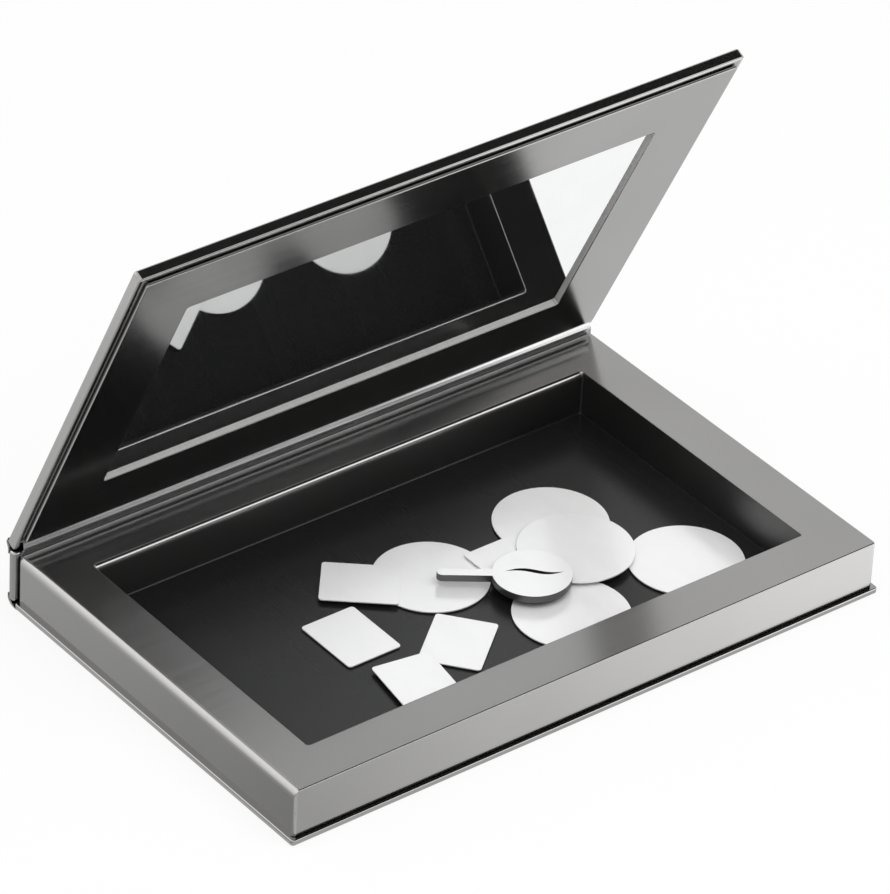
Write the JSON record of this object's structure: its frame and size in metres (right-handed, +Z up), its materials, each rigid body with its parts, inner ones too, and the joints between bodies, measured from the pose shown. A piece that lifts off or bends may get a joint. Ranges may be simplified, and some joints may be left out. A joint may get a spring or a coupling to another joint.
{
  "type": "empty magnetic makeup palette",
  "caption": "Open foil covered board palette with a mirror lid, a shallow magnetic tray, loose steel plates and a small depotting tool",
  "frame": {"origin": "centre of the base board's underside", "axes": "+X along the case's length to the right, +Y to the hinge at the rear, +Z up; the lid opens at the front, -Y"},
  "size_m": [0.1822, 0.1184, 0.1244],
  "materials": {
    "gunmetal_foil": "board covered with satin gunmetal foil paper",
    "foil_paper": "satin gunmetal foil paper",
    "hinge_liner": "pale satin lining paper",
    "greyboard": "raw greyboard under the foil",
    "magnetic_sheet": "smooth black magnetic sheet",
    "mirror": "polished mirror",
    "mirror_tape": "double sided foam tape",
    "magnet": "nickel plated disc magnet",
    "plate_steel": "bright smooth steel"
  },
  "bodies": {
    "base": {"base_board": "gunmetal_foil", "base_hinge_paper": "foil_paper", "tray_outer_wall_front": "greyboard", "tray_outer_wall_rear": "greyboard", "tray_outer_wall_left": "greyboard", "tray_outer_wall_right": "greyboard", "tray_well_wall_front": "greyboard", "tray_well_wall_rear": "greyboard", "tray_well_wall_left": "greyboard", "tray_well_wall_right": "greyboard", "tray_top_frame": "greyboard", "tray_wrap_paper": "foil_paper", "magnetic_sheet": "magnetic_sheet", "tray_magnet_left": "magnet", "tray_magnet_right": "magnet"},
    "spine": {"spine_board": "gunmetal_foil", "lid_hinge_paper": "foil_paper", "hinge_liner": "hinge_liner"},
    "lid": {"lid_board": "gunmetal_foil", "lid_frame_panel": "gunmetal_foil", "mirror_sheet": "mirror", "mirror_tape_left": "mirror_tape", "mirror_tape_right": "mirror_tape", "lid_magnet_left": "magnet", "lid_magnet_right": "magnet"},
    "plate_heap": {"round_plate_a": "plate_steel", "round_plate_b": "plate_steel", "round_plate_d": "plate_steel", "round_plate_e": "plate_steel", "square_plate_c": "plate_steel", "square_plate_e": "plate_steel"},
    "left_rear_plate": {"square_plate_b": "plate_steel"},
    "rear_plate": {"square_plate_a": "plate_steel"},
    "front_plate": {"square_plate_d": "plate_steel"},
    "top_plate": {"round_plate_c": "plate_steel"},
    "tool": {"depotting_tool": "plate_steel"}
  },
  "joints": [
    {"name": "spine_hinge", "type": "hinge", "parent": "base", "child": "spine", "pos_m": [0, 0.05905, 0.0019], "axis": [-1, 0, 0], "range_deg": [0, 90], "deforming": ["base_hinge_paper"]},
    {"name": "lid_hinge", "type": "hinge", "parent": "spine", "child": "lid", "pos_m": [0, 0.05905, 0.01845], "axis": [-1, 0, 0], "range_deg": [-64.66, 25.34], "deforming": ["lid_hinge_paper", "hinge_liner"]},
    {"name": "plate_heap_lift", "type": "slide", "parent": "base", "child": "plate_heap", "axis": [0, 0, 1], "range_m": [0, 0.03]},
    {"name": "left_rear_plate_lift", "type": "slide", "parent": "base", "child": "left_rear_plate", "axis": [0, 0, 1], "range_m": [0, 0.03]},
    {"name": "rear_plate_lift", "type": "slide", "parent": "plate_heap", "child": "rear_plate", "axis": [0, 0, 1], "range_m": [0, 0.03]},
    {"name": "front_plate_lift", "type": "slide", "parent": "plate_heap", "child": "front_plate", "axis": [0, 0, 1], "range_m": [0, 0.03]},
    {"name": "top_plate_lift", "type": "slide", "parent": "plate_heap", "child": "top_plate", "axis": [0, 0, 1], "range_m": [0, 0.03]},
    {"name": "tool_lift", "type": "slide", "parent": "top_plate", "child": "tool", "axis": [0, 0, 1], "range_m": [0, 0.03]}
  ]
}
